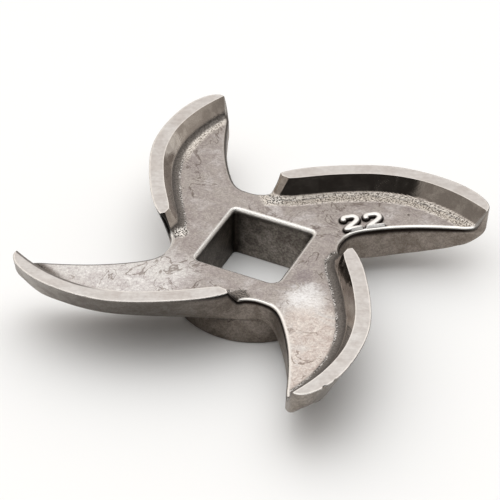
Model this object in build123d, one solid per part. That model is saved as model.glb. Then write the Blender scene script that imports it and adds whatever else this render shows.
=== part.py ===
from build123d import *
import math
import os

# Four-bladed knife of a meat grinder, one stainless casting with ground edges.
# Z is the turning axis.  z = 0 is the flat back of the hub, +Z points to the
# cutting side, which runs against the hole plate.  Blade 0 sweeps to +X/+Y and
# the other three are the same blade turned by 90 degrees.

# ---- driving dimensions, mm --------------------------------------------------
plan_unit = 14.0          # the plan curves below are given in this length
hole_side = 13.8          # square drive hole, across the flats
hole_corner = 0.6         # radius of its upright corners
hole_corner_worn = 1.5    # the corner at +X/-Y is rounder than the other three
thickness = 11.8          # back of the hub to the ground cutting lands
web_z = 8.9               # upper face of the blades behind the lands
hub_radius = 13.15        # round boss at the back
hub_edge_break = 0.3      # break at the boss's back edge
undercut_z = 6.3          # where the undercut leading wall ends
wall_slope = 30.0         # ground wall behind the land, from the vertical
wall_foot_radius = 1.7    # rough cast fillet at the foot of that wall
notch_radius = 1.5        # fillet between a blade's root and the boss
hole_break = 0.3          # bevel at the upper edge of the square hole
lead_round = 0.9          # rounding at the foot of the undercut wall
digit_height = 3.85       # raised size number beside blade 0's trailing edge
digit_width = 3.05
digit_stroke = 0.40       # radius of its rounded strokes
digit_rise = 0.50         # how far the strokes stand above the web
digits = [(11.35, 8.98, 37.3), (14.22, 11.10, 35.2)]   # lower left corner, turn

u = plan_unit

# ---- plan curves of blade 0 --------------------------------------------------
# leading edge in the plane of the lands from the root, round the tip, to the
# start of the trailing edge, and beside each point the foot of the undercut wall
nose = [
    (-0.325, 0.760, -0.325, 0.760), (-0.305, 0.860, -0.287, 0.855),
    (-0.272, 0.960, -0.220, 0.930), (-0.228, 1.045, -0.145, 0.985),
    (-0.168, 1.130, -0.055, 1.035), (-0.060, 1.238, 0.075, 1.098),
    (0.070, 1.340, 0.200, 1.165), (0.212, 1.433, 0.335, 1.235),
    (0.528, 1.612, 0.645, 1.385), (0.743, 1.712, 0.845, 1.472),
    (0.943, 1.780, 1.025, 1.535), (1.170, 1.820, 1.210, 1.570),
    (1.409, 1.831, 1.400, 1.582), (1.640, 1.816, 1.600, 1.590),
    (1.850, 1.772, 1.800, 1.590), (2.000, 1.713, 1.945, 1.568),
    (2.097, 1.653, 2.060, 1.560), (2.167, 1.586, 2.142, 1.526),
    (2.198, 1.521, 2.182, 1.486), (2.197, 1.469, 2.192, 1.440),
    (2.162, 1.418, 2.162, 1.392), (2.101, 1.368, 2.100, 1.348),
    (2.030, 1.322, 2.028, 1.309), (1.950, 1.283, 1.943, 1.279),
]
# trailing edge from the tip back to the root
trail = [
    (1.950, 1.283), (1.850, 1.243), (1.750, 1.203), (1.650, 1.160),
    (1.550, 1.114), (1.450, 1.064), (1.350, 1.009), (1.250, 0.949),
    (1.150, 0.884), (1.050, 0.812), (0.965, 0.742), (0.903, 0.672),
    (0.866, 0.600), (0.849, 0.520), (0.845, 0.440), (0.850, 0.360),
    (0.852, 0.280), (0.820, 0.200),
]
# inner edge of the ground land, from beyond the tip to the blunt root end
land_inner = [
    (2.360, 1.375), (2.260, 1.428), (2.165, 1.472), (2.000, 1.540),
    (1.790, 1.606), (1.570, 1.647), (1.344, 1.660), (1.120, 1.637),
    (0.919, 1.590), (0.730, 1.520), (0.548, 1.428), (0.400, 1.345),
    (0.268, 1.262), (0.150, 1.180), (0.050, 1.110), (-0.030, 1.058),
    (-0.095, 1.030), (-0.150, 1.030), (-0.188, 1.062), (-0.215, 1.115),
    (-0.250, 1.180), (-0.320, 1.270),
]


def P(x, y, z=0.0):
    return Vector(x * u, y * u, z)


def curve(pts, z=0.0):
    return Edge.make_spline([P(p[0], p[1], z) for p in pts])


def shifted(edge, amounts, z, side):
    """Points of edge moved sideways in plan by the given amounts."""
    out = []
    n = len(amounts)
    for i, a in enumerate(amounts):
        t = i / (n - 1)
        p = edge.position_at(t)
        d = edge.tangent_at(t)
        s = math.hypot(d.X, d.Y)
        out.append(Vector(p.X + side * d.Y / s * a, p.Y - side * d.X / s * a, z))
    return out


# ---- one blade -----------------------------------------------------------------
low_z = undercut_z - 0.7               # foot section of the undercut wall
# both sections share their spline parameters, so the wall is ruled point to point
par = [0.0]
for p, q in zip(nose[:-1], nose[1:]):
    step = 0.5 * (math.hypot(q[0] - p[0], q[1] - p[1])
                  + math.hypot(q[2] - p[2], q[3] - p[3]))
    par.append(par[-1] + step)
par = [t / par[-1] for t in par]
trail_low = [(nose[-1][2], nose[-1][3])] + trail[1:]


def ring(nose_p, tr_p, z):
    a = Edge.make_spline([P(x, y, z) for x, y in nose_p], parameters=par)
    b = Edge.make_spline([P(x, y, z) for x, y in tr_p])
    c = Edge.make_line(P(*tr_p[-1], z), P(*nose_p[0], z))
    return Wire([a, b, c])


low_ring = ring([p[2:] for p in nose], trail_low, low_z)
top_ring = ring([p[:2] for p in nose], trail, thickness)
blade = Solid.make_loft([low_ring, top_ring], ruled=True)
# below the undercut the blade carries on straight down, and the sloping
# underside then trims it
low_face = Face(low_ring)
blade = blade.fuse(Solid.extrude(low_face, Vector(0, 0, -low_z + 0.4)))
if isinstance(blade, (list, ShapeList)):
    blade = blade[0]


# ---- sloping underside: two planes meeting in a faint ridge --------------------
def below(a, b, c):
    """Half space under z = a + b*x + c*y, in plan units."""
    n = Vector(-b, -c, 1.0).normalized()
    o = Vector(1.3 * u, 1.3 * u, (a + b * 1.3 + c * 1.3) * u)
    pl = Plane(origin=o, z_dir=n)
    return pl * Box(8 * u, 8 * u, 3 * u, align=(Align.CENTER, Align.CENTER, Align.MAX))


under_inner = (0.008, -0.087, 0.346)
under_outer = (-0.263, 0.069, 0.378)
blade = Part() + blade
blade = blade - below(*under_inner) - below(*under_outer)

# ---- hub and four blades -------------------------------------------------------
body = Cylinder(hub_radius, web_z, align=(Align.CENTER, Align.CENTER, Align.MIN))
for k in range(4):
    body = body + Rot(0, 0, 90 * k) * blade

# ---- pocket behind the lands ---------------------------------------------------
tanw = math.tan(math.radians(wall_slope))
inner = curve(land_inner)
n_in = 41


def rib_ring(z):
    d = (thickness - z) * tanw
    pts = shifted(inner, [d] * n_in, z, -1)
    a = Edge.make_spline(pts)
    far = [P(-0.9, 2.4, z), P(3.1, 2.4, z)]
    return Wire([a, Edge.make_line(pts[-1], far[0]), Edge.make_line(far[0], far[1]),
                 Edge.make_line(far[1], pts[0])])


rib = Solid.make_loft([rib_ring(web_z - 1.0), rib_ring(thickness + 1.0)], ruled=True)
pocket = Pos(0, 0, web_z) * Cylinder(hub_radius * 3.4, thickness - web_z + 0.6,
                                     align=(Align.CENTER, Align.CENTER, Align.MIN))
for k in range(4):
    pocket = pocket - Rot(0, 0, 90 * k) * rib

feet = [e for e in pocket.edges()
        if e.geom_type == GeomType.BSPLINE
        and abs(e.position_at(0.0).Z - web_z) < 1e-3
        and abs(e.position_at(0.5).Z - web_z) < 1e-3]
pocket = fillet(feet, wall_foot_radius)
body = body - pocket
hole = Pos(0, 0, -1) * Box(hole_side, hole_side, thickness + 2,
                           align=(Align.CENTER, Align.CENTER, Align.MIN))
uprights = hole.edges().filter_by(Axis.Z)
worn = [e for e in uprights if e.center().X > 0 and e.center().Y < 0]
others = [e for e in uprights if not (e.center().X > 0 and e.center().Y < 0)]
hole = fillet(others, hole_corner)
worn = [e for e in hole.edges().filter_by(Axis.Z)
        if e.center().X > 0.49 * hole_side and e.center().Y < -0.49 * hole_side]
hole = fillet(worn, hole_corner_worn)
body = (body - hole).solids()[0]


# ---- edges ----------------------------------------------------------------------
def z_span(e):
    bb = e.bounding_box()
    return bb.min.Z, bb.max.Z


def reach(e):
    c = e.center()
    return math.hypot(c.X, c.Y)


def turn(e):
    c = e.center()
    return math.degrees(math.atan2(c.Y, c.X)) % 90


def near(a, b, tol=1e-3):
    return abs(a - b) < tol


upper_hole = [e for e in body.edges() if e.geom_type in (GeomType.LINE, GeomType.CIRCLE)
              and near(z_span(e)[0], web_z) and near(z_span(e)[1], web_z)
              and reach(e) < 0.75 * hole_side]
body = body.chamfer(hole_break, None, upper_hole).solids()[0]
back_rim = [e for e in body.edges() if e.geom_type == GeomType.CIRCLE
            and z_span(e)[1] < 0.01]
body = body.chamfer(hub_edge_break, None, back_rim).solids()[0]
feet = [e for e in body.edges() if e.geom_type == GeomType.BSPLINE
        and z_span(e)[0] > low_z - 0.05 and z_span(e)[1] < undercut_z + 0.3
        and z_span(e)[1] - z_span(e)[0] > 0.3 and reach(e) > 20]
body = body.fillet(lead_round, feet).solids()[0]
roots = [e for e in body.edges() if e.geom_type == GeomType.BSPLINE
         and z_span(e)[0] > 4.5 and z_span(e)[1] < web_z + 0.05
         and z_span(e)[1] - z_span(e)[0] > 0.5
         and near(reach(e), hub_radius, 0.25) and 12 < turn(e) < 20]
body = body.fillet(notch_radius, roots).solids()[0]

# ---- raised size number ---------------------------------------------------------
w, h, r = digit_width, digit_height, digit_stroke
zc = web_z + digit_rise - r


def numeral(x, y, angle):
    bow = Edge.make_spline([Vector(r, 0.72 * h, 0), Vector(0.17 * w + 0.1, 0.84 * h, 0),
                            Vector(0.48 * w, h - r, 0), Vector(0.75 * w, 0.86 * h, 0),
                            Vector(w - r, 0.69 * h, 0), Vector(0.72 * w, 0.51 * h, 0),
                            Vector(0.42 * w, 0.32 * h, 0), Vector(r, r, 0)])
    start = bow.position_at(0)
    disc = Plane(origin=start, z_dir=bow.tangent_at(0)) * Circle(r)
    stroke = sweep(disc, path=Wire([bow]))
    foot = Plane(origin=(r, r, 0), z_dir=(1, 0, 0)) * Cylinder(
        r, w - 2 * r, align=(Align.CENTER, Align.CENTER, Align.MIN))
    shape = stroke + foot
    for p in (start, Vector(r, r, 0), Vector(w - r, r, 0)):
        shape = shape + Pos(p.X, p.Y, p.Z) * Sphere(r)
    return Pos(x, y, zc) * Rot(0, 0, angle) * shape


knife = Part() + body
for x, y, angle in digits:
    knife = knife + numeral(x, y, angle)
knife = knife.solids()[0]
knife.label = "grinder_knife"

os.makedirs("parts", exist_ok=True)
export_step(knife, "parts/grinder_knife.step")
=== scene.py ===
import math

import bpy
import numpy as np
from mathutils import Matrix, Vector, kdtree, noise
from mathutils.geometry import delaunay_2d_cdt


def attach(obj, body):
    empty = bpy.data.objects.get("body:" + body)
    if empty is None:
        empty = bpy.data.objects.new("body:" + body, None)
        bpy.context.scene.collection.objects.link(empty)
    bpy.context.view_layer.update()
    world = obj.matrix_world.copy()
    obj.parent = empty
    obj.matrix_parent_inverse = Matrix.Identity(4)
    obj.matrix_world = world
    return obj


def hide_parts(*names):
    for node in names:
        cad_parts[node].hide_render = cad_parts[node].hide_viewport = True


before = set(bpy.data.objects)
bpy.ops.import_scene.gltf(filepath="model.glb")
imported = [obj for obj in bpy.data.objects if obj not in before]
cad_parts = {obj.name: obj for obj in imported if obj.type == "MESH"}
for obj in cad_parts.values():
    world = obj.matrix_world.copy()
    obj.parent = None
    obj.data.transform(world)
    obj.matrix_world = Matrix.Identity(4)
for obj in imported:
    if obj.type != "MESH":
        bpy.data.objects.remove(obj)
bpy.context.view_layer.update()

# ---------------------------------------------------------------------------
# driving dimensions of the casting, mm (the same as in the CAD source)
# ---------------------------------------------------------------------------
U = 14.0                 # plan unit of the curve tables
TOP = 11.8               # ground lands
WEB = 8.9                # upper face of the blades and the hub
R_HUB = 13.15
LOW = 5.6                # lower end of the ruled undercut wall
TAN_W = math.tan(math.radians(30.0))
R_FOOT = 1.7             # cast fillet at the foot of the step wall
HOLE = 13.8
HOLE_BREAK = 0.3

nose = np.array([
    (-0.325, 0.760, -0.325, 0.760), (-0.305, 0.860, -0.287, 0.855),
    (-0.272, 0.960, -0.220, 0.930), (-0.228, 1.045, -0.145, 0.985),
    (-0.168, 1.130, -0.055, 1.035), (-0.060, 1.238, 0.075, 1.098),
    (0.070, 1.340, 0.200, 1.165), (0.212, 1.433, 0.335, 1.235),
    (0.528, 1.612, 0.645, 1.385), (0.743, 1.712, 0.845, 1.472),
    (0.943, 1.780, 1.025, 1.535), (1.170, 1.820, 1.210, 1.570),
    (1.409, 1.831, 1.400, 1.582), (1.640, 1.816, 1.600, 1.590),
    (1.850, 1.772, 1.800, 1.590), (2.000, 1.713, 1.945, 1.568),
    (2.097, 1.653, 2.060, 1.560), (2.167, 1.586, 2.142, 1.526),
    (2.198, 1.521, 2.182, 1.486), (2.197, 1.469, 2.192, 1.440),
    (2.162, 1.418, 2.162, 1.392), (2.101, 1.368, 2.100, 1.348),
    (2.030, 1.322, 2.028, 1.309), (1.950, 1.283, 1.943, 1.279)]) * U
trail = np.array([
    (1.950, 1.283), (1.850, 1.243), (1.750, 1.203), (1.650, 1.160),
    (1.550, 1.114), (1.450, 1.064), (1.350, 1.009), (1.250, 0.949),
    (1.150, 0.884), (1.050, 0.812), (0.965, 0.742), (0.903, 0.672),
    (0.866, 0.600), (0.849, 0.520), (0.845, 0.440), (0.850, 0.360),
    (0.852, 0.280), (0.820, 0.200)]) * U
land_inner = np.array([
    (2.360, 1.375), (2.260, 1.428), (2.165, 1.472), (2.000, 1.540),
    (1.790, 1.606), (1.570, 1.647), (1.344, 1.660), (1.120, 1.637),
    (0.919, 1.590), (0.730, 1.520), (0.548, 1.428), (0.400, 1.345),
    (0.268, 1.262), (0.150, 1.180), (0.050, 1.110), (-0.030, 1.058),
    (-0.095, 1.030), (-0.150, 1.030), (-0.188, 1.062), (-0.215, 1.115),
    (-0.250, 1.180), (-0.320, 1.270)]) * U


# ---------------------------------------------------------------------------
# curves
# ---------------------------------------------------------------------------
class Spline:
    """C2 cubic through the points; end slopes come from the first four points."""

    def __init__(self, pts, par=None):
        pts = np.asarray(pts, float)
        if par is None:
            par = np.concatenate([[0], np.cumsum(np.linalg.norm(np.diff(pts, axis=0), axis=1))])
        par = np.asarray(par, float)
        par = par / par[-1]
        n = len(pts)
        h = np.diff(par)

        def end(ps, ts):
            m = np.zeros(pts.shape[1])
            for i in range(4):
                c = 0.0
                for k in range(4):
                    if k != i:
                        q = 1.0 / (ts[i] - ts[k])
                        for l in range(4):
                            if l not in (i, k):
                                q *= (ts[0] - ts[l]) / (ts[i] - ts[l])
                        c += q
                m = m + c * ps[i]
            return m

        A = np.zeros((n, n))
        b = np.zeros((n, pts.shape[1]))
        A[0, 0] = A[-1, -1] = 1
        b[0] = end(pts[:4], par[:4])
        b[-1] = end(pts[::-1][:4], par[::-1][:4])
        for i in range(1, n - 1):
            A[i, i - 1] = 1 / h[i - 1]
            A[i, i] = 2 * (1 / h[i - 1] + 1 / h[i])
            A[i, i + 1] = 1 / h[i]
            b[i] = 3 * ((pts[i] - pts[i - 1]) / h[i - 1] ** 2 + (pts[i + 1] - pts[i]) / h[i] ** 2)
        self.p, self.t, self.h = pts, par, h
        self.m = np.linalg.solve(A, b)

    def __call__(self, t):
        t = np.atleast_1d(np.asarray(t, float))
        i = np.clip(np.searchsorted(self.t, t, side="right") - 1, 0, len(self.h) - 1)
        h = self.h[i][:, None]
        s = ((t - self.t[i])[:, None]) / h
        p0, p1, m0, m1 = self.p[i], self.p[i + 1], self.m[i], self.m[i + 1]
        return ((2 * s ** 3 - 3 * s ** 2 + 1) * p0 + (s ** 3 - 2 * s ** 2 + s) * h * m0
                + (-2 * s ** 3 + 3 * s ** 2) * p1 + (s ** 3 - s ** 2) * h * m1)


def spaced(f, t0, t1, step):
    """Parameters from t0 to t1, both ends included, about step(point) mm apart."""
    t = np.linspace(t0, t1, 3001)
    p = f(t)
    seg = np.linalg.norm(np.diff(p[:, :2], axis=0), axis=1)
    mid = 0.5 * (p[1:] + p[:-1])
    dens = np.concatenate([[0], np.cumsum(seg / step(mid))])
    n = max(2, int(math.ceil(dens[-1])))
    return np.interp(np.linspace(0, dens[-1], n + 1), dens, t)


def rot(p, k):
    """Plan points turned by k quarter turns."""
    p = np.array(p, float)
    for _ in range(k % 4):
        x = p[..., 0].copy()
        p[..., 0] = -p[..., 1]
        p[..., 1] = x
    return p


d_top = np.linalg.norm(np.diff(nose[:, :2], axis=0), axis=1)
d_low = np.linalg.norm(np.diff(nose[:, 2:], axis=0), axis=1)
npar = np.concatenate([[0], np.cumsum(0.5 * (d_top + d_low))])
N_BOTH = Spline(nose, npar)
trail_s = Spline(trail)
L_s = Spline(land_inner)
# the land's inner edge runs to corner A; two small ground facets close its root end
L_cut = 0.0
_t = np.linspace(0, 1, 4001)
_p = L_s(_t)
L_cut = _t[np.where(_p[:, 0] >= -0.066 * U)[0][-1]]
A_PT = L_s(L_cut)[0]
B_PT = np.array([-0.152, 1.048]) * U
_e = L_s(L_cut)[0] - L_s(L_cut - 0.003)[0]
_e /= np.linalg.norm(_e)
L_poly = np.concatenate([L_s(np.linspace(0, L_cut, 460)), [A_PT + _e * 9.0]])
N3 = np.array([-_e[1], _e[0]])
_e = (B_PT - A_PT) / np.linalg.norm(B_PT - A_PT)
N2 = np.array([-_e[1], _e[0]])
N1 = np.array([-0.72, -0.69]) / np.hypot(0.72, 0.69)
K1 = math.tan(math.radians(30.0)) / math.tan(math.radians(33.0))
K2 = [math.tan(math.radians(30.0)) / math.tan(math.radians(a)) for a in (38.5, 32.0, 33.0, 34.0)]


def wall_xy(s, z):
    """Plan position of the undercut wall at parameter s and height z."""
    p = N_BOTH(s)
    tau = np.clip((TOP - np.asarray(z, float)) / (TOP - LOW), 0, 1)[:, None]
    return p[:, :2] * (1 - tau) + p[:, 2:] * tau


# ---------------------------------------------------------------------------
# heights
# ---------------------------------------------------------------------------
def seg_dist(pts, poly, chunk=4000):
    """Distance, sign (left of the line is positive) and place along poly."""
    pts = np.asarray(pts, float)
    a, b = poly[:-1], poly[1:]
    ab = b - a
    L2 = (ab ** 2).sum(1)
    cum = np.concatenate([[0], np.cumsum(np.sqrt(L2))])
    d = np.empty(len(pts))
    sg = np.empty(len(pts))
    al = np.empty(len(pts))
    for i in range(0, len(pts), chunk):
        p = pts[i:i + chunk, None, :]
        t = np.clip(((p - a) * ab).sum(2) / L2, 0, 1)
        q = p - (a + t[..., None] * ab)
        dd = (q ** 2).sum(2)
        j = dd.argmin(1)
        r = np.arange(len(j))
        d[i:i + chunk] = np.sqrt(dd[r, j])
        sg[i:i + chunk] = np.sign(ab[j, 0] * q[r, j, 1] - ab[j, 1] * q[r, j, 0])
        al[i:i + chunk] = cum[j] + t[r, j] * np.sqrt(L2[j])
    return d, sg, al


# the cast fillet differs a little from blade to blade
R_K = np.array([0.75, 1.6, 1.5, 1.7])
D_WALL = R_K / math.tan(math.radians(60.0))
D_FOOT = (TOP - WEB) * TAN_W
D_END = D_FOOT + D_WALL          # where the fillet meets the web
D_TAN = D_FOOT - D_WALL * 0.5    # where the fillet meets the wall


def step_height(d, k):
    z = np.where(d <= 0, TOP, TOP - d / TAN_W)
    arc = WEB + R_K[k] - np.sqrt(np.clip(R_K[k] ** 2 - (d - D_END[k]) ** 2, 0, None))
    z = np.where(d > D_TAN[k], arc, z)
    return np.where(d >= D_END[k], WEB, z)


def land_field(pts):
    """Signed distance behind the nearest land's inner edge, place along it, blade."""
    pts = np.asarray(pts, float)
    best = np.full(len(pts), 99.0)
    along = np.zeros(len(pts))
    blade = np.zeros(len(pts), int)
    for k in range(4):
        q = rot(pts, -k)
        near = (q[:, 0] > -8) & (q[:, 0] < 36) & (q[:, 1] > 8) & (q[:, 1] < 32)
        if not near.any():
            continue
        d, s, a = seg_dist(q[near], L_poly)
        sd = d * np.where(s == 0, 1, s)
        sd = np.maximum(sd, np.maximum(K2[k] * ((q[near] - B_PT) @ N2),
                                       K1 * ((q[near] - B_PT) @ N1)))
        idx = np.where(near)[0]
        # the land's own side is only real within the strip that the blade holds
        take = sd < best[idx]
        best[idx[take]] = sd[take]
        along[idx[take]] = a[take]
        blade[idx[take]] = k
    return best, along, blade


def H(pts):
    d, _, k = land_field(pts)
    return step_height(d, k)


def under_z(pts):
    """Sloping underside in blade 0's frame, with its faint ridge rounded."""
    x, y = pts[:, 0] / U, pts[:, 1] / U
    a = (0.008 - 0.087 * x + 0.346 * y) * U
    b = (-0.263 + 0.069 * x + 0.378 * y) * U
    k = 0.25
    z = np.maximum(a, b) + k * np.exp(-np.abs(a - b) / k) * 0.35
    d2 = (pts[:, 0] - 0.8466 * U) ** 2 + (pts[:, 1] - 0.407 * U) ** 2
    d3 = (pts[:, 0] - 2.13 * U) ** 2 + (pts[:, 1] - 1.60 * U) ** 2
    return z + 4.1 * np.exp(-d2 / 4.0 ** 2) + 2.10 * np.exp(-d3 / 2.8 ** 2)


# ---------------------------------------------------------------------------
# perimeter of one blade sector as columns, counter-clockwise:
# trailing edge outwards, tip, leading edge inwards, short piece of the hub
# ---------------------------------------------------------------------------
def root_find(f, lo, hi, n=60):
    flo = f(lo)
    for _ in range(n):
        mid = 0.5 * (lo + hi)
        fm = f(mid)
        if (fm > 0) == (flo > 0):
            lo, flo = mid, fm
        else:
            hi = mid
    return 0.5 * (lo + hi)


t_x = root_find(lambda t: np.linalg.norm(trail_s(t)[0]) - R_HUB, 0.45, 0.93)


def s_hub(z):
    return root_find(lambda s: np.linalg.norm(wall_xy([s], [z])[0]) - R_HUB, 0.0, 0.12)


s_j_top, s_j_low = s_hub(WEB), s_hub(LOW)
EDGE_A = 0.10            # break along the ground edges, measured on the land


def inset_nose(s, a):
    e = 1e-4
    p = N_BOTH([s - e, s, s + e])[:, :2]
    t = p[2] - p[0]
    t /= np.linalg.norm(t)
    return p[1] + a * np.array([t[1], -t[0]])      # leading edge runs clockwise


def cross_at(lo, hi):
    return root_find(lambda s: float(land_field(inset_nose(s, EDGE_A)[None])[0][0]), lo, hi)


s_scan = np.linspace(0.02, 0.99, 400)
f_scan = land_field(np.array([inset_nose(s, EDGE_A) for s in s_scan]))[0]
flips = [i for i in range(len(s_scan) - 1) if (f_scan[i] > 0) != (f_scan[i + 1] > 0)]
s_root = cross_at(s_scan[flips[0]], s_scan[flips[0] + 1])
s_tip = cross_at(s_scan[flips[-1]], s_scan[flips[-1] + 1])

t1 = spaced(trail_s, t_x, 0.0, lambda p: 0.30 + 0 * p[:, 0])
fine_tip = lambda p: np.where(p[:, 0] > 27.5, 0.16, 0.29)
fine_root = lambda p: np.where(p[:, 0] < 1.0, 0.20, 0.29)
s2a = spaced(N_BOTH, 1.0, s_tip, lambda p: 0.16 + 0 * p[:, 0])
s2b = spaced(N_BOTH, s_tip, s_root, lambda p: np.minimum(fine_tip(p), fine_root(p)))
s2c = spaced(N_BOTH, s_root, s_j_top, lambda p: 0.18 + 0 * p[:, 0])
s2 = np.concatenate([s2a, s2b[1:], s2c[1:]])
n_arc = 9
kind = np.concatenate([np.zeros(len(t1) - 1, int), np.ones(len(s2), int),
                       np.full(n_arc, 2)])
NC = len(kind)
par_col = np.concatenate([t1[:-1], s2, np.linspace(0, 1, n_arc + 2)[1:-1]])
j_nose0 = len(t1) - 1
j_tip = j_nose0 + len(s2a) - 1
j_root = j_nose0 + len(s2a) - 1 + len(s2b) - 1
j_hub = j_nose0 + len(s2) - 1

th_t = math.atan2(*trail_s(t_x)[0][::-1])


def col_xy(z):
    """Plan position of every column at its own height z[j]."""
    out = np.zeros((NC, 2))
    m = kind == 0
    out[m] = trail_s(par_col[m])
    m = kind == 1
    s = par_col[m]
    w = np.clip(1 - (s - s_j_top) / 0.10, 0, 1) ** 2
    frac = np.clip((WEB - z[m]) / (WEB - LOW), 0, 1)
    s_here = s + w * (s_j_low - s_j_top) * frac
    out[m] = wall_xy(s_here, z[m])
    m = kind == 2
    f = np.clip((WEB - z[m]) / (WEB - LOW), 0, 1)
    pj_t, pj_l = wall_xy([s_j_top], [WEB])[0], wall_xy([s_j_low], [LOW])[0]
    th_a = np.arctan2(pj_t[1], pj_t[0]) * (1 - f) + np.arctan2(pj_l[1], pj_l[0]) * f
    th = th_a + (th_t + math.pi / 2 - th_a) * par_col[m]
    out[m] = R_HUB * np.stack([np.cos(th), np.sin(th)], 1)
    return out


# height of the upper corner of each column
z_top = np.full(NC, WEB)
levels = np.arange(TOP, 8.0, -0.04)
open_ = np.ones(NC, bool)
prev = np.full(NC, TOP)
hit_lo = np.full(NC, WEB)
for z in levels:
    xy = col_xy(np.full(NC, z))
    ok = open_ & (H(xy) - z >= -1e-9)
    hit_lo[ok] = z
    open_ &= ~ok
lo, hi = hit_lo.copy(), np.minimum(hit_lo + 0.04, TOP)
for _ in range(20):
    mid = 0.5 * (lo + hi)
    below = H(col_xy(mid)) >= mid
    lo = np.where(below, mid, lo)
    hi = np.where(below, hi, mid)
z_top = lo
z_top[kind == 2] = WEB
z_top[(kind == 1) & (np.arange(NC) >= j_tip) & (np.arange(NC) <= j_root)] = TOP

# height of the lower corner
lo, hi = np.full(NC, 0.2), np.full(NC, 8.5)
for _ in range(40):
    mid = 0.5 * (lo + hi)
    above = mid > under_z(col_xy(mid))
    hi = np.where(above, mid, hi)
    lo = np.where(above, lo, mid)
z_bot = hi
m = kind == 2
z_next = z_bot[0]
z_bot[m] = z_bot[j_hub] + (z_next - z_bot[j_hub]) * (3 * par_col[m] ** 2 - 2 * par_col[m] ** 3)


def roll_closed(a, k=1):
    """Neighbour columns in the closed perimeter of four sectors, plan points."""
    if k > 0:
        return np.concatenate([a[k:], rot(a[:k], 1)])
    return np.concatenate([rot(a[k:], -1), a[:k]])


def inward(p):
    t = roll_closed(p, 1) - roll_closed(p, -1)
    t /= np.linalg.norm(t, axis=1)[:, None]
    return np.stack([-t[:, 1], t[:, 0]], 1)


C = col_xy(z_top)
n_in = inward(C)
jj = np.arange(NC)
# size of the upper edge's rounding: crisp on the ground lands, soft on the cast edges
sharp_w = np.zeros(NC)
arc_len = np.concatenate([[0], np.cumsum(np.linalg.norm(np.diff(C, axis=0), axis=1))])
on_land = (jj >= j_tip) & (jj <= j_root)
gap_tip = np.clip((arc_len[j_tip] - arc_len) / 1.6, 0, 1)
gap_root = np.clip((arc_len - arc_len[j_root]) / 1.0, 0, 1)
soft = np.where(jj < j_tip, gap_tip, np.where(jj > j_root, gap_root, 0.0))
soft = soft * soft * (3 - 2 * soft)
r_cast = np.where(kind == 0, 0.46, 0.44)
a_top = EDGE_A + soft * (r_cast - EDGE_A)


def wall_dir(z0, z1):
    d = np.concatenate([col_xy(z1) - col_xy(z0), (z1 - z0)[:, None]], 1)
    return d / np.linalg.norm(d, axis=1)[:, None]


down = wall_dir(z_top, z_top - 0.6)
P0 = C + n_in * a_top[:, None]
P0z = H(P0)
P0z[on_land] = TOP
P2 = np.concatenate([C, z_top[:, None]], 1) + down * a_top[:, None]
C3 = np.concatenate([C, z_top[:, None]], 1)
P03 = np.concatenate([P0, P0z[:, None]], 1)


def conic(p0, p1, p2, n):
    """Points of a round-looking arc from p0 to p2 with corner p1."""
    u1 = (p0 - p1) / np.linalg.norm(p0 - p1, axis=1)[:, None]
    u2 = (p2 - p1) / np.linalg.norm(p2 - p1, axis=1)[:, None]
    w = np.sqrt(np.clip((1 - (u1 * u2).sum(1)) / 2, 0.02, 1))[:, None]
    out = []
    for t in np.linspace(0, 1, n + 1):
        b0, b1, b2 = (1 - t) ** 2, 2 * t * (1 - t) * w, t * t
        out.append((b0 * p0 + b1 * p1 + b2 * p2) / (b0 + b1 + b2))
    return out


rows = conic(P03, C3, P2, 4)
# lower corner: wide rounding at the foot of the undercut, small on the trailing side
Cb = col_xy(z_bot)
nb = inward(Cb)
w_nose = np.where(kind == 1, 1.0, 0.0)
dist_nose0 = np.abs(arc_len - arc_len[j_nose0])
w_nose = np.where(kind == 0, np.clip(1 - dist_nose0 / 2.5, 0, 1), w_nose)
dist_hub = np.where(kind == 1, arc_len[j_hub] - arc_len, 0.0)
fade_l = np.where(kind == 1, np.clip(dist_hub / 2.5, 0, 1), 1.0)
fade_t = np.where(kind == 0, np.clip(arc_len / 2.5, 0, 1), 1.0)
tip_w = np.exp(-((arc_len - arc_len[j_tip]) / 3.2) ** 2)
b_low = (0.16 + 0.22 * w_nose + 0.45 * tip_w) * fade_l * fade_t
b_low[kind == 2] = 0
b_in = b_low * (1.0 + 0.5 * w_nose)
z_s = z_bot + np.maximum(b_low * 1.1, 0.02)
Q0 = np.concatenate([col_xy(z_s), z_s[:, None]], 1)
Q1 = np.concatenate([Cb, z_bot[:, None]], 1)
q2 = Cb + nb * b_in[:, None]
Q2 = np.concatenate([q2, under_z(q2)[:, None]], 1)
flat = b_low < 1e-3
Q2[flat] = Q1[flat]
n_wall = 15
for i in range(1, n_wall):
    f = i / n_wall
    z = P2[:, 2] * (1 - f) + Q0[:, 2] * f
    xy = col_xy(z)
    # the first rows leave the rounding smoothly
    rows.append(np.concatenate([xy, z[:, None]], 1))
low_rows = conic(Q0, Q1, Q2, 4)
for i, r in enumerate(low_rows):
    r = r.copy()
    r[flat] = (Q0 * (1 - i / 4) + Q1 * (i / 4))[flat]
    rows.append(r)
rows = np.stack(rows)                       # rows x columns x 3
NR = rows.shape[0]

# round the concave corners where the blades meet the hub
w0 = j_hub - 9
order = list(range(w0, NC)) + [NC + i for i in range(0, 9)]
for r in range(NR):
    pl = rows[r][:, :2]
    ext = np.concatenate([pl, rot(pl[:9], 1)])[w0:]
    for _ in range(26):
        e2 = ext.copy()
        e2[1:-1] = 0.25 * ext[:-2] + 0.5 * ext[1:-1] + 0.25 * ext[2:]
        ext = e2
    n_keep = NC - w0
    rows[r][w0:, :2] = ext[:n_keep]
    rows[r][1:9, :2] = rot(ext[n_keep:], -1)[1:9]
    rows[r][0, :2] = rot(ext[n_keep:n_keep + 1], -1)[0]
m = (rows[0][:, 2] < WEB + 0.02)
rows[0][m, 2] = WEB

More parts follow.
